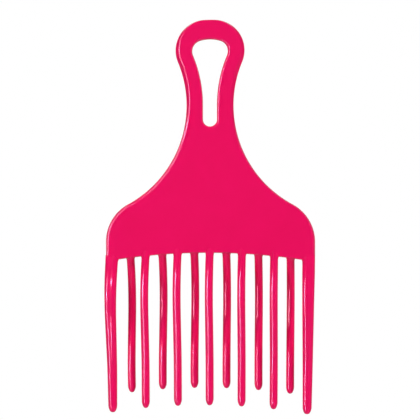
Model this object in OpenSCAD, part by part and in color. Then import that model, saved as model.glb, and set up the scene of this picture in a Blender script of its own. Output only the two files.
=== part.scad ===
// Double-row hair pick: a loop handle, a neck, a wide plate and two rows of long bowed teeth.
// It hangs upright with its teeth down: +Z up, +X to the right, the front row of teeth toward -Y.
// The origin is the middle of the hole's upper edge, where a hook carries the comb.
// All pieces are regions of one moulding, and they meet face to face.

/* [Plate] */
// Thickness of the flat plate and handle between their faces
plate_t = 4; // [3.6:0.1:5]
// How far the rounded rim stands proud of each flat face
rim_proud = 0.05; // [0.03:0.01:0.3]
// Width of the plate over its straight sides
plate_w = 93.4; // [86:0.1:104]
// Radius of each shoulder of the plate
shoulder_r = 19; // [14:0.5:24]
// Length of the straight side between the shoulder and the lower corner
side_h = 6.5; // [4:0.5:14]
// Radius of the shallow arc that the plate's lower edge and both rows of tips follow
row_arc_r = 278; // [200:1:400]

/* [Handle] */
// Width of the loop where it is widest
loop_w = 30.8; // [28:0.1:36]
// Radius of the loop's upper corners
loop_corner_r = 13.6; // [11:0.1:15]
// Radius of the nearly flat top of the loop
loop_top_r = 58; // [30:1:90]
// Height of the band above the hole
loop_band = 8.8; // [7.5:0.1:12]
// Width of the neck where it is narrowest
neck_w = 21; // [18.5:0.1:26]
// Radius of the hollow curve from the loop past the neck to the shoulder
neck_r = 50; // [40:1:60]
// Distance from the hole's lower end down to the seam between handle and head
seam_drop = 7.3; // [4:0.1:12]

/* [Hole] */
// Height of the teardrop hole
hole_h = 38.7; // [36:0.1:42]
// Width of the hole where it is widest
hole_w = 15.8; // [13:0.1:17]
// Radius of the hole's upper corners
hole_corner_r = 4.8; // [3.5:0.1:6]
// Radius of the nearly flat upper edge of the hole
hole_top_r = 15.9; // [12:0.1:30]
// Radius of the hole's long hollow sides
hole_side_r = 56.5; // [45:0.5:70]
// Width of the narrow slot at the hole's lower end
slot_w = 6.2; // [5:0.1:7.5]

/* [Teeth] */
// Thickness of a round tooth
tooth_d = 3.5; // [3:0.05:3.8]
// How far above the plate's lower edge a tooth's axis starts
root_sink = 1.9; // [1.6:0.05:2.2]
// How far each row bows out from the plate's middle plane
bow = 6.5; // [5:0.1:9]
// Radius of the bow's crest
bow_r = 38; // [30:1:55]
// Lean of a tooth where it runs back toward the middle plane, in degrees
lean = 10.5; // [8:0.5:14]
// Radius of the bend where the lean ends
blend_r = 60; // [30:1:80]
// How far a tip stands out from the plate's middle plane
tip_offset = 1.7; // [1.4:0.05:2.5]
// Length of the straight end of a front tooth
front_end_h = 13.4; // [8:0.1:30]
// Length of the straight end of a back tooth
back_end_h = 6; // [4.5:0.1:20]
// Length of the rounded taper at a tip
tip_h = 3.2; // [2.6:0.1:4]
// Radius of a tip's nose
nose_r = 1.25; // [0.9:0.05:1.4]

/* [Outer teeth] */
// How much wider than a round tooth an outer tooth is at its root
outer_root_extra = 2.15; // [1.2:0.05:3.5]
// How much wider than a round tooth an outer tooth is at its tip
outer_tip_extra = 0.35; // [0.25:0.05:0.8]
// How far the outer teeth stay in from the plate's sides
outer_inset = 0.05; // [0.03:0.01:0.3]
// How far the web between an outer tooth's two round edges lies below their surface
web_recess = 0.05; // [0.03:0.01:0.2]

/* [Hidden] */
// The counts follow from one another: a back tooth stands in each gap of the front row.
front_count = 7;
back_count = front_count - 1;
function tooth_names(row, count) = [for (i = [1:count]) str(row, "_tooth_", i)];
$fa = 2;
$fs = 0.35;
comb_pink = "#ed145f";
// Steps in which a round stretch of the slab's outline is drawn
arc_step = 3;

// Round lengths that follow one another are by turns full and slim, so that each joint is one clean ring.
// How much less in radius a slim length is than the full ones beside it
slimming = 0.01;
// How far a slim length runs into the full ones at its ends
overlap = 0.2;

// The rim is a round bead that follows the edges of the slab, so the slab ends on the bead's centre line.
rim_r = plate_t / 2 + rim_proud;

// The outer edge is a chain of arcs that run smoothly into one another, from the top of the loop down.
// An arc is held as its centre, the radius of the rim's centre line, and its two end angles.
loop_top_z = loop_band - loop_top_r;
corner_x = loop_w / 2 - loop_corner_r;
corner_z = loop_top_z + leg(loop_top_r - loop_corner_r, corner_x);
neck_x = neck_w / 2 + neck_r;
neck_z = corner_z - leg(loop_corner_r + neck_r, neck_x - corner_x);
shoulder_x = plate_w / 2 - shoulder_r;
shoulder_z = neck_z - leg(neck_r + shoulder_r, neck_x - shoulder_x);
side_x = plate_w / 2 - rim_r;
foot_z = shoulder_z - side_h;
row_arc_z = foot_z - leg(row_arc_r + rim_r, side_x);

corner_from_top = atan2(corner_z - loop_top_z, corner_x);
neck_from_corner = atan2(neck_z - corner_z, neck_x - corner_x);
shoulder_from_neck = 360 + atan2(shoulder_z - neck_z, shoulder_x - neck_x);
foot_from_row = atan2(foot_z - row_arc_z, side_x);

loop_top = [[0, loop_top_z], loop_top_r - rim_r, 90, corner_from_top];
loop_corner = [[corner_x, corner_z], loop_corner_r - rim_r, corner_from_top, neck_from_corner];
neck_side = [[neck_x, neck_z], neck_r + rim_r, 180 + neck_from_corner, shoulder_from_neck];
shoulder = [[shoulder_x, shoulder_z], shoulder_r - rim_r, shoulder_from_neck - 180, 0];
lower_edge = [[0, row_arc_z], row_arc_r + rim_r, foot_from_row, 90];

// The hole's edge is a chain of the same kind.
hole_top_z = -hole_top_r;
hole_corner_x = hole_w / 2 - hole_corner_r;
hole_corner_z = hole_top_z + leg(hole_top_r - hole_corner_r, hole_corner_x);
hole_side_x = slot_w / 2 + hole_side_r;
hole_side_z = hole_corner_z - leg(hole_corner_r + hole_side_r, hole_side_x - hole_corner_x);
slot_z = slot_w / 2 - hole_h;

hole_corner_from_top = atan2(hole_corner_z - hole_top_z, hole_corner_x);
hole_side_from_corner = atan2(hole_side_z - hole_corner_z, hole_side_x - hole_corner_x);

hole_top = [[0, hole_top_z], hole_top_r + rim_r, 90, hole_corner_from_top];
hole_corner = [
  [hole_corner_x, hole_corner_z], hole_corner_r + rim_r, hole_corner_from_top, hole_side_from_corner
];
hole_side = [[hole_side_x, hole_side_z], hole_side_r - rim_r, 180 + hole_side_from_corner, 180];
slot_end = [[0, slot_z], slot_w / 2 + rim_r, 0, -90];

// A tooth's path lies in its own upright plane: x is how far it stands out and y is the height from its root.
tooth_r = tooth_d / 2;
start_angle = acos(1 - bow / bow_r);
crest_drop = bow_r * sin(start_angle) - root_sink;
bow_centre = [bow - bow_r, -crest_drop];
lean_start = bow_centre + bow_r * [cos(lean), -sin(lean)];
lean_h = (bow - tip_offset - (bow_r + blend_r) * (1 - cos(lean))) / sin(lean);
lean_end = lean_start - lean_h * [sin(lean), cos(lean)];
blend_centre = lean_end + blend_r * [cos(lean), -sin(lean)];
end_start = blend_centre - [blend_r, 0];

// A tip's taper is an arc that leaves the round side smoothly and runs smoothly into the nose.
nose_h = tip_h - nose_r;
taper_r = (pow(nose_h, 2) + pow(tooth_r, 2) - pow(nose_r, 2)) / (2 * (tooth_r - nose_r));
taper_h = nose_h * taper_r / (taper_r - nose_r);

// An outer tooth has an upright round inner edge and a leaning round outer edge, joined by a flat web.
// The front row's pitch leaves the outer teeth just inside the plate's sides.
outer_x = plate_w / 2 - outer_inset - tooth_r - outer_root_extra;
pitch = outer_x / ((front_count - 1) / 2);
front_tooth_h = front_end_h - end_start[1];
outer_tilt = atan((outer_root_extra - outer_tip_extra) / front_tooth_h);
web_half = tooth_r - web_recess;
web_w = outer_root_extra + tooth_r;
// How far the web's joint and its lower end lie from the joints of the round edges
web_step = 0.5;

seam_z = -hole_h - seam_drop;
root_drop = -row_arc_z - row_arc_r;
// Half the size of the block that cuts the moulding at the seam, which reaches well past the comb
cut_size = loop_band + root_drop + front_tooth_h;

// The other side of a right-angled triangle with one side given
function leg(long_side, side) = sqrt(pow(long_side, 2) - pow(side, 2));

function on_arc(arc, angle) = arc[0] + arc[1] * [cos(angle), sin(angle)];

// The angle that a length takes up on a circle
function turn(length, radius) = length / radius * 180 / PI;

// Points along an arc, without its first one, which ends the arc before
function arc_points(arc) =
  let (steps = ceil(abs(arc[3] - arc[2]) / arc_step))
  [for (i = [1:steps]) on_arc(arc, arc[2] + (arc[3] - arc[2]) * i / steps)];

function mirrored(points) = [for (i = [len(points) - 1:-1:0]) [-points[i][0], points[i][1]]];

// Height of the plate's lower edge at the given distance from the middle, which is where a tooth's root lies
function root_z(x) = row_arc_z + leg(row_arc_r, x);

module both_sides() {
  children();
  mirror([1, 0, 0]) children();
}

// A length of the rim along an arc, run on at both ends by the extra length
module rim_arc(arc, bead_r = rim_r, extra = 0) {
  low = min(arc[2], arc[3]) - turn(extra, arc[1]);
  high = max(arc[2], arc[3]) + turn(extra, arc[1]);
  translate(arc[0])
    rotate([0, 0, low])
      rotate_extrude(angle = high - low)
        translate([arc[1], 0]) circle(bead_r);
}

// A slim length of the rim along an arc
module slim_rim_arc(arc) {
  rim_arc(arc, rim_r - slimming, overlap);
}

// A full length of the rim across the middle of the comb, over both halves of an arc
module rim_middle_arc(arc, middle) {
  half = abs(arc[3] - arc[2]);
  rim_arc([arc[0], arc[1], middle - half, middle + half]);
}

// An upright length of the rim
module rim_bar(x, low, high, bead_r = rim_r) {
  translate([x, high])
    rotate([90, 0, 0]) cylinder(h = high - low, r = bead_r);
}

module outer_rim() {
  rim_middle_arc(loop_top, 90);
  rim_middle_arc(lower_edge, 90);
  both_sides() {
    slim_rim_arc(loop_corner);
    rim_arc(neck_side);
    slim_rim_arc(shoulder);
    rim_bar(side_x, foot_z, shoulder_z);
    translate([side_x, foot_z]) sphere(rim_r + slimming);
  }
}

module hole_rim() {
  rim_middle_arc(hole_top, 90);
  rim_middle_arc(slot_end, -90);
  both_sides() {
    slim_rim_arc(hole_corner);
    rim_arc(hole_side);
    rim_bar(slot_end[1], slot_z - overlap, hole_side_z + overlap, rim_r - slimming);
  }
}

// The flat slab inside the rim, with the hole
module slab() {
  outer_points = concat(
    arc_points(loop_top), arc_points(loop_corner), arc_points(neck_side), arc_points(shoulder),
    [[side_x, foot_z]], arc_points(lower_edge)
  );
  hole_points = concat(
    arc_points(hole_top), arc_points(hole_corner), arc_points(hole_side),
    [[slot_end[1], slot_z]], arc_points(slot_end)
  );
  linear_extrude(plate_t, center = true)
    difference() {
      symmetric_outline(outer_points, on_arc(loop_top, 90));
      symmetric_outline(hole_points, on_arc(hole_top, 90));
    }
}

// An outline from the points of its right side, top middle point aside, down to its bottom middle point
module symmetric_outline(points, top) {
  sides = [for (p = points) if (p[0] > 0) p];
  bottom = [0, points[len(points) - 1][1]];
  polygon(concat([top], sides, [bottom], mirrored(sides)));
}

// The handle, neck and plate in one, standing upright
module moulding() {
  rotate([90, 0, 0]) {
    slab();
    outer_rim();
    hole_rim();
  }
}

module above_seam() {
  translate([-cut_size, -cut_size, seam_z]) cube(2 * cut_size);
}

module handle() {
  color(comb_pink)
    intersection() {
      moulding();
      above_seam();
    }
}

// The head has a socket for the root of each round tooth.
module head() {
  color(comb_pink)
    difference() {
      moulding();
      above_seam();
      for (i = [2:front_count - 1])
        front_place(i) root_bow();
      for (i = [1:back_count])
        back_place(i) root_bow();
    }
}

// Stands a tooth's own plane upright at a root, with its bow toward the front
module stand_upright(x, z) {
  translate([x, 0, z]) rotate([90, 0, -90]) children();
}

module front_place(i) {
  x = (i - (front_count + 1) / 2) * pitch;
  stand_upright(x, root_z(x)) children();
}

module back_place(i) {
  x = (i - (back_count + 1) / 2) * pitch;
  mirror([0, 1, 0]) stand_upright(x, root_z(x)) children();
}

// The first, bowed length of a round tooth, from inside the plate past the crest
module root_bow() {
  reach = lean + turn(overlap, bow_r);
  translate(bow_centre)
    rotate([0, 0, -reach])
      rotate_extrude(angle = start_angle + reach)
        translate([bow_r, 0]) circle(tooth_r - slimming);
}

// The bend from the lean to the straight end
module blend() {
  extra = turn(overlap, blend_r);
  translate(blend_centre)
    rotate([0, 0, 180 - lean - extra])
      rotate_extrude(angle = lean + 2 * extra)
        translate([blend_r, 0]) circle(tooth_r - slimming);
}

// Half the section of a straight end: its round side, the taper and the nose
module end_section(end_h) {
  taper_start = end_h - tip_h;
  square([tooth_r, taper_start]);
  translate([0, taper_start]) {
    intersection() {
      translate([tooth_r - taper_r, 0]) circle(taper_r);
      square([tooth_r, taper_h]);
    }
    intersection() {
      translate([0, nose_h]) circle(nose_r);
      translate([0, taper_h]) square([nose_r, nose_r]);
    }
  }
}

// A whole round tooth whose straight end has the given length
module round_tooth(end_h) {
  root_bow();
  translate(lean_start)
    rotate([90, 0, -lean]) cylinder(h = lean_h, r = tooth_r);
  blend();
  translate(end_start)
    rotate([90, 0, 0])
      rotate_extrude() end_section(end_h);
}

// Stands a length of round tooth at the inner edge of the right-hand outer tooth
module outer_inner_edge() {
  stand_upright(outer_x, outer_root_z()) children();
}

// Stands a length of round tooth at its outer edge, which leans in toward the tip
module outer_outer_edge() {
  translate([outer_x + outer_root_extra, 0, outer_root_z()])
    rotate([0, outer_tilt, 0])
      stand_upright(0, 0) children();
}

function outer_root_z() = root_z(outer_x + outer_root_extra / 2);

// The bowed length of the flat web, drawn out over the tooth's width
module web_bow() {
  reach = lean + turn(web_step, bow_r);
  rotate([0, 0, -reach])
    rotate_extrude(angle = start_angle + reach - turn(overlap, bow_r))
      translate([bow_r - web_half, -web_w]) square([2 * web_half, web_w]);
}

// The straight length of the web, which is a little slimmer
module web_lean() {
  half = web_half - slimming;
  rotate([0, 0, -lean])
    translate([-half, 2 * web_step - lean_h, -web_w])
      cube([2 * half, lean_h - web_step, web_w]);
}

// What lies between the axes of the round edges, as seen from the front
module between_edges() {
  translate([outer_x, cut_size, outer_root_z()])
    rotate([90, 0, 0])
      linear_extrude(2 * cut_size)
        polygon([
          [0, tooth_d],
          [outer_root_extra + tooth_d * tan(outer_tilt), tooth_d],
          [outer_tip_extra, -front_tooth_h],
          [0, -front_tooth_h],
        ]);
}

module outer_web() {
  intersection() {
    outer_inner_edge() {
      translate(bow_centre) web_bow();
      translate(lean_start) web_lean();
    }
    between_edges();
  }
}

// The right-hand outer tooth, which starts at the plate's surface
module outer_tooth() {
  difference() {
    union() {
      outer_inner_edge() round_tooth(front_end_h);
      outer_outer_edge() round_tooth(front_end_h);
      outer_web();
    }
    moulding();
  }
}

module front_tooth(i) {
  color(comb_pink)
    if (i == 1)
      mirror([1, 0, 0]) outer_tooth();
    else if (i == front_count)
      outer_tooth();
    else
      front_place(i) round_tooth(front_end_h);
}

module back_tooth(i) {
  color(comb_pink) back_place(i) round_tooth(back_end_h);
}

handle();
head();
for (i = [1:front_count])
  front_tooth(i);
for (i = [1:back_count])
  back_tooth(i);
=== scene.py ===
import math

import bmesh
import bpy
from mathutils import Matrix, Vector


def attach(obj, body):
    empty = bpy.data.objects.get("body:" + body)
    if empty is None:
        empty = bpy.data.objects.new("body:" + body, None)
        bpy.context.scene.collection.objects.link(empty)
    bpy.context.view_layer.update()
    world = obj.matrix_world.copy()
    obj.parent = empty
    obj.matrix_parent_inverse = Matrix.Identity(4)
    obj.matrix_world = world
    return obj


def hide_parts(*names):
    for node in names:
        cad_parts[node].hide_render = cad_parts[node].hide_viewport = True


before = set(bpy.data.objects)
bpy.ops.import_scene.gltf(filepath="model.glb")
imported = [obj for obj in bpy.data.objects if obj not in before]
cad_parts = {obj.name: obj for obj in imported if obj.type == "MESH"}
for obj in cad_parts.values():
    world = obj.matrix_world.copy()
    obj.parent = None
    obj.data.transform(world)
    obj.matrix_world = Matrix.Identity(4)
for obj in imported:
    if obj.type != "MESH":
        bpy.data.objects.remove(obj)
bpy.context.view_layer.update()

MM = 0.001

# The plate and the handle
PLATE_W = 93.4
SHOULDER_R = 19.0
SIDE_H = 6.5
ROW_ARC_R = 278.0
LOOP_W = 30.8
LOOP_CORNER_R = 13.6
LOOP_TOP_R = 58.0
LOOP_BAND = 8.79
NECK_W = 21.0
NECK_R = 50.0
HOLE_H = 38.7
HOLE_W = 15.8
HOLE_CORNER_R = 4.8
HOLE_TOP_R = 15.9
HOLE_SIDE_R = 56.5
SLOT_W = 6.2
SEAM_Z = -46.0
HALF_T = 2.0
# The lower corners are rounded to this as seen from the front.
FOOT_R = 2.05

# The two mould halves meet in the middle of every edge and leave a fine raised line there.
PARTING_H = 0.035
PARTING_HALF_W = 0.06

# The teeth
FRONT_COUNT = 7
BACK_COUNT = 6
PITCH = 14.25
TOOTH_R = 1.75
# A tooth is wider than it is deep by this factor, because its mould halves part at its two sides.
ACROSS = 1.03
ROOT_SINK = 1.9
BOW = 6.5
BOW_R = 38.0
LEAN = math.radians(10.5)
BLEND_R = 60.0
TIP_OFFSET = 1.7
FRONT_END_H = 13.39
BACK_END_H = 6.0
TIP_H = 3.2
NOSE_R = 1.25
OUTER_ROOT_EXTRA = 2.15
OUTER_TIP_EXTRA = 0.35
# The small fillet where a tooth leaves the plate
FILLET = 0.3
# No tooth reaches further to the side than this, a hair inside the plate's side.
TOOTH_LIMIT = PLATE_W / 2 - 0.02
# An outer tooth is a round rod with a flat web along its outer side. The web is thinner than the rod, by
# this share of the thickness at the root and by nothing at the tip, and a narrow valley lies between them.
WEB_DIP = 0.08
VALLEY_W = 0.2
# Moulded teeth cool a few tenths of a millimetre out of line. How far each one stands to the right at its
# root, halfway down and at its tip, from left to right:
FRONT_BENDS = [
    (-0.1, -0.34, -0.42), (-0.19, -0.16, -0.05), (-0.12, -0.03, 0.07), (-0.02, -0.02, -0.03),
    (0.06, 0.02, -0.1), (0.1, 0.04, -0.17), (0.08, 0.2, 0.2),
]
BACK_BENDS = [
    (-0.15, 0.02, 0.46), (-0.1, -0.05, 0.07), (0, 0, 0.08), (0.08, 0.08, 0.14), (0.11, 0.1, 0.14),
    (0.15, 0.04, -0.08),
]

# Ejector pins leave shallow round marks on the back face: x, z and radius of each.
PIN_MARKS = [(0, 4.4, 1.4), (0, -58, 2), (-34, -86, 2), (34, -86, 2), (-12.5, -84.5, 2), (12.5, -84.5, 2)]
PIN_DEPTH = 0.06
# The plastic was let in here, and the trimmed stub stands a little proud of the back face.
GATE_MARK = (0, -73, 0.9)
GATE_H = 0.18

# Spacing of the points along an edge, and the number of steps in each stretch of a tooth and round it
STEP = 0.8
BOW_STEPS = 60
STRETCH_STEPS = 16
TAPER_STEPS = 6
NOSE_STEPS = 10
QUARTER_STEPS = 12


def leg(long_side, side):
    return math.sqrt(long_side ** 2 - side ** 2)


# The edge of the moulding as seen from the front

# Each edge has a fillet at either face, and between them two walls that lean out to the parting line.
# The lean is broad at the sides of the loop, where the thumb rests, and slight round the plate.
# Height, fillet radius and the wall's turn from the face in degrees, from the loop's top down:
OUTER_WALLS = [
    (8.8, 0.5, 82), (5.5, 0.5, 70), (2.0, 0.75, 60), (-4.0, 1.25, 54), (-14.0, 1.25, 51.5),
    (-27.0, 1.25, 57), (-38.0, 1.25, 70), (-46.0, 1.25, 77), (-72.0, 1.25, 77), (-86.0, 1.25, 73),
    (-97.0, 1.25, 73), (-98.5, 0.5, 84),
]
HOLE_WALLS = [(0, 0.9, 84), (-3.0, 1.2, 82), (-14.0, 1.1, 85), (-39.0, 1.0, 86)]
ROW_WALLS = [(0, 0.5, 84), (-200, 0.5, 84)]


def wall_at(walls, z):
    """Fillet radius and wall angle in radians at a height."""
    for (high, r1, turn1), (low, r2, turn2) in zip(walls, walls[1:]):
        if z >= low:
            t = min(1.0, (high - z) / (high - low)) if z < high else 0.0
            t = t * t * (3 - 2 * t)
            return r1 + (r2 - r1) * t, math.radians(turn1 + (turn2 - turn1) * t)
    return walls[-1][1], math.radians(walls[-1][2])


def arc(centre, radius, start, end, out, walls):
    """Points along an arc: place, direction out of the plastic, fillet radius and wall angle. out is 1
    where the plastic lies inside the circle and -1 where it lies outside."""
    count = max(2, math.ceil(abs(end - start) * radius / STEP))
    points = []
    for i in range(count + 1):
        a = start + (end - start) * i / count
        c, s = math.cos(a), math.sin(a)
        z = centre[1] + radius * s
        points.append((centre[0] + radius * c, z, out * c, out * s) + wall_at(walls, z))
    return points


def upright(x, high, low, out, walls):
    """Points down a straight upright edge."""
    count = max(2, math.ceil((high - low) / STEP))
    heights = [high + (low - high) * i / count for i in range(count + 1)]
    return [(x, z, out, 0.0) + wall_at(walls, z) for z in heights]


def closed_edge(stretches):
    """The whole edge from the stretches of its right half, which run from top middle to bottom middle."""
    right = list(stretches[0])
    for stretch in stretches[1:]:
        right += stretch[1:]
    left = [(-x, z, -nx, nz, r, turn) for x, z, nx, nz, r, turn in reversed(right[1:-1])]
    return right + left


def outer_edge():
    top_z = LOOP_BAND - LOOP_TOP_R
    corner_x = LOOP_W / 2 - LOOP_CORNER_R
    corner = (corner_x, top_z + leg(LOOP_TOP_R - LOOP_CORNER_R, corner_x))
    neck_x = NECK_W / 2 + NECK_R
    neck = (neck_x, corner[1] - leg(LOOP_CORNER_R + NECK_R, neck_x - corner[0]))
    shoulder_x = PLATE_W / 2 - SHOULDER_R
    shoulder = (shoulder_x, neck[1] - leg(NECK_R + SHOULDER_R, neck_x - shoulder_x))
    foot = (PLATE_W / 2 - FOOT_R, shoulder[1] - SIDE_H)
    row = (0, foot[1] - leg(ROW_ARC_R + FOOT_R, foot[0]))
    corner_from_top = math.atan2(corner[1] - top_z, corner[0])
    neck_from_corner = math.atan2(neck[1] - corner[1], neck[0] - corner[0])
    shoulder_from_neck = math.atan2(shoulder[1] - neck[1], shoulder[0] - neck[0]) + 2 * math.pi
    foot_from_row = math.atan2(foot[1] - row[1], foot[0])
    edge = closed_edge([
        arc((0, top_z), LOOP_TOP_R, math.pi / 2, corner_from_top, 1, OUTER_WALLS),
        arc(corner, LOOP_CORNER_R, corner_from_top, neck_from_corner, 1, OUTER_WALLS),
        arc(neck, NECK_R, math.pi + neck_from_corner, shoulder_from_neck, -1, OUTER_WALLS),
        arc(shoulder, SHOULDER_R, shoulder_from_neck - math.pi, 0, 1, OUTER_WALLS),
        upright(PLATE_W / 2, shoulder[1], foot[1], 1, OUTER_WALLS),
        arc(foot, FOOT_R, 0, foot_from_row - math.pi, 1, OUTER_WALLS),
        arc(row, ROW_ARC_R, foot_from_row, math.pi / 2, -1, ROW_WALLS),
    ])
    return edge, row[1]


def hole_edge():
    corner_x = HOLE_W / 2 - HOLE_CORNER_R
    corner = (corner_x, -HOLE_TOP_R + leg(HOLE_TOP_R - HOLE_CORNER_R, corner_x))
    side_x = SLOT_W / 2 + HOLE_SIDE_R
    side = (side_x, corner[1] - leg(HOLE_CORNER_R + HOLE_SIDE_R, side_x - corner_x))
    slot_z = SLOT_W / 2 - HOLE_H
    corner_from_top = math.atan2(corner[1] + HOLE_TOP_R, corner[0])
    side_from_corner = math.atan2(side[1] - corner[1], side[0] - corner[0])
    return closed_edge([
        arc((0, -HOLE_TOP_R), HOLE_TOP_R, math.pi / 2, corner_from_top, -1, HOLE_WALLS),
        arc(corner, HOLE_CORNER_R, corner_from_top, side_from_corner, -1, HOLE_WALLS),
        arc(side, HOLE_SIDE_R, math.pi + side_from_corner, math.pi, 1, HOLE_WALLS),
        upright(SLOT_W / 2, side[1], slot_z, -1, HOLE_WALLS),
        arc((0, slot_z), SLOT_W / 2, 0, -math.pi / 2, -1, HOLE_WALLS),
    ])


OUTER_EDGE, ROW_ARC_Z = outer_edge()
HOLE_EDGE = hole_edge()


def row_z(x):
    """Height of the plate's lower edge, where a tooth's root lies."""
    return ROW_ARC_Z + leg(ROW_ARC_R, x)


# The plate and the handle

FILLET_STEPS = 9
WALL_STEPS = 3
MARK_SIDES = 48
# A mark's side leans in by this much from its rim.
MARK_LEAN = 0.04


def wall_section(fillet, turn):
    """Half the section of an edge from the front face to the parting line, as distance in from the outline,
    height from the middle plane, and the direction out of the plastic as its turn from the face."""
    wall_h = HALF_T - fillet * (1 - math.cos(turn))
    width = fillet * math.sin(turn) + wall_h / math.tan(turn) + PARTING_H
    section = []
    for i in range(FILLET_STEPS + 1):
        a = turn * i / FILLET_STEPS
        section.append((width - fillet * math.sin(a), HALF_T - fillet * (1 - math.cos(a)), a))
    for i in range(1, WALL_STEPS + 1):
        h = wall_h + (PARTING_HALF_W - wall_h) * i / WALL_STEPS
        section.append((PARTING_H + h / math.tan(turn), h, turn))
    return section


def rounded_edge(bm, edge, out_layer, flat_layer):
    """The band along a closed edge. Returns its border on the front face and on the back face."""
    columns = []
    for x, z, nx, nz, fillet, turn in edge:
        half = wall_section(fillet, turn)
        section = [(inset, -h, a) for inset, h, a in half] + [(0.0, 0.0, math.pi / 2)]
        section += [(inset, h, math.pi - a) for inset, h, a in reversed(half)]
        column = []
        for inset, y, a in section:
            vert = bm.verts.new((MM * (x - nx * inset), MM * y, MM * (z - nz * inset)))
            vert[out_layer] = Vector((nx * math.sin(a), -math.cos(a), nz * math.sin(a)))
            column.append(vert)
        columns.append(column)
    line = FILLET_STEPS + WALL_STEPS + 1
    for i, column in enumerate(columns):
        after = columns[(i + 1) % len(columns)]
        for j in range(len(column) - 1):
            face = bm.faces.new((column[j], after[j], after[j + 1], column[j + 1]))
            face[flat_layer] = 1 if line in (j, j + 1) else 0
    fronts = [bm.edges.get((c[0], columns[(i + 1) % len(columns)][0])) for i, c in enumerate(columns)]
    backs = [bm.edges.get((c[-1], columns[(i + 1) % len(columns)][-1])) for i, c in enumerate(columns)]
    return fronts, backs


def round_mark(bm, mark, depth, flat_layer):
    """A shallow round step in the back face, sunk by depth or raised where depth is below zero."""
    x, z, radius = mark
    rings = []
    turns = [2 * math.pi * i / MARK_SIDES for i in range(MARK_SIDES)]
    for r, y in ((radius, HALF_T), (radius - MARK_LEAN, HALF_T - depth)):
        rings.append([
            bm.verts.new((MM * (x + r * math.cos(t)), MM * y, MM * (z + r * math.sin(t)))) for t in turns])
    rim, floor = rings
    for i in range(MARK_SIDES):
        k = (i + 1) % MARK_SIDES
        bm.faces.new((rim[i], rim[k], floor[k], floor[i]))[flat_layer] = 1
    bm.faces.new(floor)[flat_layer] = 1
    return [bm.edges.get((rim[i], rim[(i + 1) % MARK_SIDES])) for i in range(MARK_SIDES)]


def moulding_part(name, node, keep_above):
    """The moulding above or below the seam, as one closed mesh."""
    bm = bmesh.new()
    out_layer = bm.verts.layers.float_vector.new("out")
    flat_layer = bm.faces.layers.int.new("flat")
    outer_front, outer_back = rounded_edge(bm, OUTER_EDGE, out_layer, flat_layer)
    hole_front, hole_back = rounded_edge(bm, HOLE_EDGE, out_layer, flat_layer)
    marks = []
    for mark in PIN_MARKS:
        marks += round_mark(bm, mark, PIN_DEPTH, flat_layer)
    marks += round_mark(bm, GATE_MARK, -GATE_H, flat_layer)
    for borders in (outer_front + hole_front, outer_back + hole_back + marks):
        filled = bmesh.ops.triangle_fill(bm, use_beauty=True, edges=borders)
        for item in filled["geom"]:
            if isinstance(item, bmesh.types.BMFace):
                item[flat_layer] = 1
    bmesh.ops.recalc_face_normals(bm, faces=bm.faces)
    cut = bmesh.ops.bisect_plane(
        bm, geom=bm.verts[:] + bm.edges[:] + bm.faces[:], plane_co=(0, 0, MM * SEAM_Z), plane_no=(0, 0, 1),
        clear_inner=keep_above, clear_outer=not keep_above)
    rim = [item for item in cut["geom_cut"] if isinstance(item, bmesh.types.BMEdge) and item.is_boundary]
    for face in bmesh.ops.edgeloop_fill(bm, edges=rim)["faces"]:
        face[flat_layer] = 1
    bmesh.ops.recalc_face_normals(bm, faces=bm.faces)
    mesh = bpy.data.meshes.new(name)
    bm.to_mesh(mesh)
    normals = [None] * len(mesh.loops)
    out = mesh.attributes["out"].data
    flat = mesh.attributes["flat"].data
    for face in mesh.polygons:
        face.use_smooth = True
        for k in face.loop_indices:
            vertex = mesh.loops[k].vertex_index
            rounded = Vector(out[vertex].vector).normalized()
            normals[k] = face.normal.copy() if flat[face.index].value else rounded
    mesh.normals_split_custom_set(normals)
    for layer in ("out", "flat"):
        mesh.attributes.remove(mesh.attributes[layer])
    bm.free()
    return settle(mesh, name, node)


def settle(mesh, name, node):
    """Makes the mesh a piece that stands for a node, in the comb's one plastic."""
    piece = bpy.data.objects.new(name, mesh)
    bpy.context.scene.collection.objects.link(piece)
    mesh.materials.append(PINK_PLASTIC)
    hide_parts(node)
    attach(piece, "root")
    return piece


# The teeth

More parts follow.
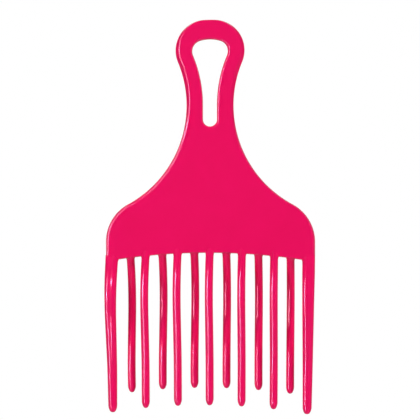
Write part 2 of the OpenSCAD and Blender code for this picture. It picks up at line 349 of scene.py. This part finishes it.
def tooth_path(end_h):
    """Points down a tooth's middle line: how far out it stands, its height from the root, its heading
    as the angle by which it leans out, and its radius."""
    start_angle = math.acos(1 - BOW / BOW_R)
    bow_centre = (BOW - BOW_R, ROOT_SINK - BOW_R * math.sin(start_angle))
    lean_start = (bow_centre[0] + BOW_R * math.cos(LEAN), bow_centre[1] - BOW_R * math.sin(LEAN))
    lean_h = (BOW - TIP_OFFSET - (BOW_R + BLEND_R) * (1 - math.cos(LEAN))) / math.sin(LEAN)
    lean_end = (lean_start[0] - lean_h * math.sin(LEAN), lean_start[1] - lean_h * math.cos(LEAN))
    blend_centre = (lean_end[0] + BLEND_R * math.cos(LEAN), lean_end[1] - BLEND_R * math.sin(LEAN))
    end_start = (blend_centre[0] - BLEND_R, blend_centre[1])

    nose_h = TIP_H - NOSE_R
    taper_r = (nose_h ** 2 + TOOTH_R ** 2 - NOSE_R ** 2) / (2 * (TOOTH_R - NOSE_R))
    taper_h = nose_h * taper_r / (taper_r - NOSE_R)

    path = []
    for i in range(BOW_STEPS + 1):
        a = start_angle - (start_angle + LEAN) * i / BOW_STEPS
        path.append((bow_centre[0] + BOW_R * math.cos(a), bow_centre[1] + BOW_R * math.sin(a), a, TOOTH_R))
    for i in range(1, STRETCH_STEPS + 1):
        t = i / STRETCH_STEPS
        path.append((
            lean_start[0] + (lean_end[0] - lean_start[0]) * t,
            lean_start[1] + (lean_end[1] - lean_start[1]) * t, -LEAN, TOOTH_R))
    for i in range(1, STRETCH_STEPS + 1):
        a = math.pi - LEAN + LEAN * i / STRETCH_STEPS
        path.append((
            blend_centre[0] + BLEND_R * math.cos(a), blend_centre[1] + BLEND_R * math.sin(a),
            a - math.pi, TOOTH_R))
    straight = end_h - TIP_H
    for i in range(1, STRETCH_STEPS + 1):
        path.append((end_start[0], end_start[1] - straight * i / STRETCH_STEPS, 0.0, TOOTH_R))
    for i in range(1, TAPER_STEPS + 1):
        h = taper_h * i / TAPER_STEPS
        path.append((end_start[0], end_start[1] - straight - h, 0.0, TOOTH_R - taper_r + leg(taper_r, h)))
    first = math.asin((taper_h - nose_h) / NOSE_R)
    for i in range(1, NOSE_STEPS):
        a = first + (math.pi / 2 - first) * i / NOSE_STEPS
        path.append((
            end_start[0], end_start[1] - straight - nose_h - NOSE_R * math.sin(a),
            0.0, NOSE_R * math.cos(a)))
    tip = (end_start[0], end_start[1] - end_h)
    return path, tip


def above_plate(x, y, z):
    """Distance of a point near the roots from the plate's rounded lower edge and faces."""
    side = max(0.0, abs(x) - (PLATE_W / 2 - ROW_WALLS[0][1]))
    below = max(0.0, row_z(min(abs(x), PLATE_W / 2)) + ROW_WALLS[0][1] - z)
    deep = max(0.0, abs(y) - HALF_T + ROW_WALLS[0][1])
    return math.sqrt(side ** 2 + below ** 2 + deep ** 2) - ROW_WALLS[0][1]


def tooth_section(outward):
    """A tooth's section as angles from its outer side, with a fine parting line at both sides. Each point
    lies on the rod, on the web's rounded edge or, for an outer tooth, in the valley between them."""
    line = math.degrees(PARTING_HALF_W / TOOTH_R)
    quarter = [90 / QUARTER_STEPS * i for i in range(1, QUARTER_STEPS)]
    half = [0, line] + quarter + [90] + [180 - a for a in reversed(quarter)] + [180 - line]
    section = []
    for a in half + [180 + a for a in half]:
        if outward and a == 90:
            section += [(a, "web"), (a, "valley"), (a, "rod")]
        elif outward and a == 270:
            section += [(a, "rod"), (a, "valley"), (a, "web")]
        else:
            section.append((a, "web" if outward and (a < 90 or a > 270) else "rod"))
    return section


def tooth(name, node, x, bend, facing, end_h, outward=0):
    """One tooth of the front row, facing -1, or of the back row, facing 1. outward is 0 for a round tooth,
    and for a wide outer one it is the side that its outer edge is on."""
    path, tip = tooth_path(end_h)
    length = -tip[1]
    lean_in = (OUTER_ROOT_EXTRA - OUTER_TIP_EXTRA) / length if outward else 0.0
    root_z = row_z(abs(x) + OUTER_ROOT_EXTRA / 2) if outward else row_z(x)

    section = tooth_section(outward)
    bm = bmesh.new()
    rings = []
    for out, h, heading, radius in path:
        t = max(0.0, -h / length)
        sway = bend[0] * (1 - t) * (1 - 2 * t) + bend[1] * 4 * t * (1 - t) + bend[2] * t * (2 * t - 1)
        widen = OUTER_ROOT_EXTRA + h * lean_in if outward else 0.0
        share = (widen - OUTER_TIP_EXTRA) / (OUTER_ROOT_EXTRA - OUTER_TIP_EXTRA)
        dip = WEB_DIP * max(0.0, min(1.0, share))
        web_r = radius * (1 - dip)
        meet = math.asin(1 - dip) if outward else math.pi / 2
        ring = []
        for angle, part in section:
            ridge = PARTING_H * radius / TOOTH_R if angle in (0, 180) else 0.0
            a = math.radians(angle)
            if part == "rod" and outward:
                a = math.pi + (a - math.pi) * (math.pi - meet) / (math.pi / 2)

            def point(grow):
                r = (web_r if part == "web" else radius) + ridge - PARTING_H + grow
                across, deep = ACROSS * r * math.cos(a), r * math.sin(a)
                if part == "web":
                    across += widen + radius - web_r
                elif part == "valley":
                    across = min(radius * math.cos(meet) + VALLEY_W, widen + radius - web_r)
                    deep = (web_r - PARTING_H + grow) * math.sin(a)
                return (x + sway + (outward or 1) * across, facing * (out + deep * math.cos(heading)),
                        root_z + h + deep * math.sin(heading))

            # The nearer the bare tooth is to the plate here, the more the fillet adds to it.
            gap = max(0.0, above_plate(*point(0.0)))
            px, py, pz = point(FILLET * math.exp(-gap / FILLET))
            ring.append(bm.verts.new((MM * max(-TOOTH_LIMIT, min(TOOTH_LIMIT, px)), MM * py, MM * pz)))
        rings.append(ring)
    for ring, after in zip(rings, rings[1:]):
        for k in range(len(ring)):
            n = (k + 1) % len(ring)
            bm.faces.new((ring[k], ring[n], after[n], after[k]))
    bm.faces.new(rings[0])
    widen = OUTER_TIP_EXTRA if outward else 0.0
    ends = []
    for w in [widen, 0.0] if outward else [0.0]:
        end_x = x + bend[2] + (outward or 1) * w
        ends.append(bm.verts.new((MM * end_x, MM * facing * tip[0], MM * (root_z + tip[1]))))
    last = rings[-1]
    for k in range(len(last)):
        n = (k + 1) % len(last)
        end_k = ends[0 if section[k][1] == "web" or not outward else 1]
        end_n = ends[0 if section[n][1] == "web" or not outward else 1]
        if end_k is end_n:
            bm.faces.new((last[k], last[n], end_k))
        else:
            bm.faces.new((last[k], last[n], end_n, end_k))
    bmesh.ops.recalc_face_normals(bm, faces=bm.faces)
    mesh = bpy.data.meshes.new(name)
    bm.to_mesh(mesh)
    bm.free()
    for face in mesh.polygons:
        face.use_smooth = len(face.vertices) < 5
    return settle(mesh, name, node)


# The plastic

def linear(hex_colour):
    """An sRGB hex colour as linear red, green, blue and alpha."""
    parts = [int(hex_colour[i:i + 2], 16) / 255 for i in (1, 3, 5)]
    return [p / 12.92 if p <= 0.04045 else ((p + 0.055) / 1.055) ** 2.4 for p in parts] + [1.0]


def put(tree, kind, settings, links=()):
    """Adds a node, sets its properties and sockets by name, and links outputs to its inputs."""
    node = tree.nodes.new(kind)
    for name, value in settings.items():
        if hasattr(node, name):
            setattr(node, name, value)
        else:
            node.inputs[name].default_value = value
    for socket, source in links:
        tree.links.new(source, node.inputs[socket])
    return node


def per_metre(size_mm):
    """Noise scale for a pattern whose marks are this many millimetres apart."""
    return 1 / (size_mm * MM)


def pink_polypropylene():
    """Polypropylene coloured through in hot pink and injection moulded in a polished mould. To the eye it
    is a deep, even colour under a hard gloss, with faint cloudy flow bands and the soft waviness of a
    thin moulding in its reflections."""
    material = bpy.data.materials.new("polished_pink_polypropylene")
    material.use_nodes = True
    tree = material.node_tree
    tree.nodes.clear()
    place = put(tree, "ShaderNodeTexCoord", {}).outputs["Object"]

    # Pigment drifts a little along the flow, in bands some 14 mm apart.
    flow = put(tree, "ShaderNodeTexNoise", {"Scale": per_metre(14), "Detail": 2.0, "Distortion": 0.6},
               [("Vector", place)])
    pigment = put(tree, "ShaderNodeMix", {"data_type": "RGBA"}, [("Factor", flow.outputs["Fac"])])
    pigment.inputs["A"].default_value = linear("#ea0c5a")
    pigment.inputs["B"].default_value = linear("#f00d61")

    # Handling haze comes in patches a fingertip, about 9 mm, across.
    haze = put(tree, "ShaderNodeTexNoise", {"Scale": per_metre(9), "Detail": 3.0}, [("Vector", place)])
    gloss = put(tree, "ShaderNodeMapRange", {"To Min": 0.10, "To Max": 0.16},
                [("Value", haze.outputs["Fac"])])

    # The mould's polish leaves a skin with ripples about 1.6 mm apart and only microns deep.
    ripple = put(tree, "ShaderNodeTexNoise", {"Scale": per_metre(1.6), "Detail": 1.0}, [("Vector", place)])
    skin = put(tree, "ShaderNodeBump", {"Strength": 0.25, "Distance": 0.000012},
               [("Height", ripple.outputs["Fac"])])

    shader = put(tree, "ShaderNodeBsdfPrincipled", {
        "IOR": 1.49, "Metallic": 0.0, "Specular Tint": linear("#ffb4e7"),
    }, [
        ("Base Color", pigment.outputs["Result"]),
        ("Roughness", gloss.outputs["Result"]),
        ("Normal", skin.outputs["Normal"]),
    ])
    put(tree, "ShaderNodeOutputMaterial", {}, [("Surface", shader.outputs["BSDF"])])
    return material


PINK_PLASTIC = pink_polypropylene()

moulding_part("loop_handle", "handle", True)
moulding_part("toothed_plate", "head", False)
for i in range(1, FRONT_COUNT + 1):
    x = (i - (FRONT_COUNT + 1) / 2) * PITCH
    outward = (-1 if i == 1 else 1) if i in (1, FRONT_COUNT) else 0
    tooth("front_rod_%d" % i, "front_tooth_%d" % i, x, FRONT_BENDS[i - 1], -1, FRONT_END_H, outward)
for i in range(1, BACK_COUNT + 1):
    x = (i - (BACK_COUNT + 1) / 2) * PITCH
    tooth("back_rod_%d" % i, "back_tooth_%d" % i, x, BACK_BENDS[i - 1], 1, BACK_END_H)


# The studio: floor, background, lamps and camera

# In metres and degrees. The photograph was taken from a little to the right.
MIDDLE = Vector((0, 0, -0.0759))
CAMERA_DISTANCE = 0.7
CAMERA_AZIMUTH = 4.5
LENS_MM = 134.8
# The floor lies below the camera's view from the front, and below the low lamp.
FLOOR_Z = -1.05
FLOOR_R = 6
# How bright the white paper looks before its own light and shade are added
PAPER_GLOW = 0.66
# The studio's own soft light from all round, and the level of its dim side in the gloss
SURROUND = 0.26
DIM_SIDE = 0.09
# In the gloss the paper fades out between straight behind, at 1, and about 50 degrees aside.
PAPER_EDGE = 0.65


def studio_floor():
    bm = bmesh.new()
    bmesh.ops.create_circle(bm, cap_ends=True, radius=FLOOR_R, segments=96)
    mesh = bpy.data.meshes.new("pale_floor")
    bm.to_mesh(mesh)
    bm.free()
    floor = bpy.data.objects.new("pale_floor", mesh)
    floor.location = (0, 0, FLOOR_Z)
    bpy.context.scene.collection.objects.link(floor)
    material = bpy.data.materials.new("matt_white_paper")
    material.use_nodes = True
    tree = material.node_tree
    tree.nodes.clear()
    ray = put(tree, "ShaderNodeLightPath", {})
    paper = put(tree, "ShaderNodeBsdfDiffuse", {"Color": linear("#f1f1f0")})
    seen = put(tree, "ShaderNodeMath", {"operation": "MAXIMUM"},
               [(0, ray.outputs["Is Camera Ray"]), (1, ray.outputs["Is Transmission Ray"])])
    glow = put(tree, "ShaderNodeEmission", {}, [("Strength", seen.outputs["Value"])])
    glow.inputs["Color"].default_value = (PAPER_GLOW, PAPER_GLOW, PAPER_GLOW, 1)
    both = put(tree, "ShaderNodeAddShader", {}, [(0, paper.outputs["BSDF"]), (1, glow.outputs["Emission"])])
    put(tree, "ShaderNodeOutputMaterial", {}, [("Surface", both.outputs["Shader"])])
    mesh.materials.append(material)


def studio_background():
    """White to the camera. The gloss shows the white paper that hangs behind the comb, and the dark side of
    the studio in front of it. What lights the comb from all round is softer."""
    world = bpy.data.worlds.new("white_studio")
    bpy.context.scene.world = world
    world.use_nodes = True
    tree = world.node_tree
    tree.nodes.clear()
    ray = put(tree, "ShaderNodeLightPath", {})
    way = put(tree, "ShaderNodeTexCoord", {})
    parts = put(tree, "ShaderNodeSeparateXYZ", {}, [("Vector", way.outputs["Generated"])])
    paper = put(tree, "ShaderNodeMapRange", {
        "interpolation_type": "SMOOTHSTEP", "From Min": PAPER_EDGE, "From Max": 1.0,
        "To Min": DIM_SIDE, "To Max": 1.0,
    }, [("Value", parts.outputs["Y"])])
    mirrored = put(tree, "ShaderNodeMix", {"A": SURROUND}, [
        ("Factor", ray.outputs["Is Glossy Ray"]), ("B", paper.outputs["Result"])])
    seen = put(tree, "ShaderNodeMath", {"operation": "MAXIMUM"},
               [(0, ray.outputs["Is Camera Ray"]), (1, ray.outputs["Is Transmission Ray"])])
    level = put(tree, "ShaderNodeMath", {"operation": "MAXIMUM"},
                [(0, mirrored.outputs["Result"]), (1, seen.outputs["Value"])])
    back = put(tree, "ShaderNodeBackground", {"Color": (1, 1, 1, 1)},
               [("Strength", level.outputs["Value"])])
    put(tree, "ShaderNodeOutputWorld", {}, [("Surface", back.outputs["Background"])])


def lamp(name, azimuth, elevation, distance, width, height, level, turn=0.0, mirrored=True, lights=True):
    """A flat lamp that faces the comb's middle. azimuth is in degrees to the right of the comb's front, and
    turn leans the lamp over in its own plane. level is its brightness where 1 is white. The comb shows it
    in its gloss where it is mirrored, and is lit by it where it lights."""
    data = bpy.data.lights.new(name, "AREA")
    data.shape = "RECTANGLE"
    data.size = width
    data.size_y = height
    data.energy = level * math.pi * width * height
    holder = bpy.data.objects.new(name, data)
    a, e = math.radians(azimuth), math.radians(elevation)
    out = Vector((math.sin(a) * math.cos(e), -math.cos(a) * math.cos(e), math.sin(e)))
    holder.location = MIDDLE + distance * out
    holder.rotation_euler = out.to_track_quat("Z", "Y").to_euler()
    holder.rotation_euler.rotate_axis("Z", math.radians(turn))
    holder.visible_glossy = mirrored
    holder.visible_diffuse = lights
    bpy.context.scene.collection.objects.link(holder)


def studio_camera():
    lens = bpy.data.cameras.new("camera")
    lens.lens = LENS_MM
    lens.sensor_width = 36
    lens.clip_start = 0.01
    camera = bpy.data.objects.new("camera", lens)
    a = math.radians(CAMERA_AZIMUTH)
    camera.location = MIDDLE + CAMERA_DISTANCE * Vector((math.sin(a), -math.cos(a), 0))
    camera.rotation_euler = (math.pi / 2, 0, a)
    bpy.context.scene.collection.objects.link(camera)
    bpy.context.scene.camera = camera


studio_camera()
studio_floor()
studio_background()
# Narrow strips to the left of the camera draw the bright line along the edges and the teeth: two upright
# ones, and one that leans over at either end. Soft boxes that stay out of the gloss light the faces.
lamp("strip_middle", -42.5, 5, 1.0, 0.10, 0.32, 92, lights=False)
lamp("strip_low", -42.5, -10, 1.0, 0.10, 0.21, 46, lights=False)
lamp("strip_upper", -34.5, 20, 1.0, 0.10, 0.38, 62, turn=-42, lights=False)
lamp("strip_lower", -34.5, -22, 1.0, 0.10, 0.38, 46, turn=42, lights=False)
lamp("left_box", -31, 12, 1.0, 0.25, 0.8, 7.0, mirrored=False)
lamp("right_box", 70, 10, 1.2, 0.8, 0.8, 3.8, mirrored=False)
lamp("top_box", -45, 60, 1.2, 0.8, 0.8, 2.5, mirrored=False)
lamp("low_box", 5, -45, 1.2, 0.8, 0.5, 1.5, mirrored=False)
lamp("back_box", 180, 20, 1.2, 0.8, 0.8, 4.4, mirrored=False)

bpy.context.scene.view_settings.view_transform = "Standard"
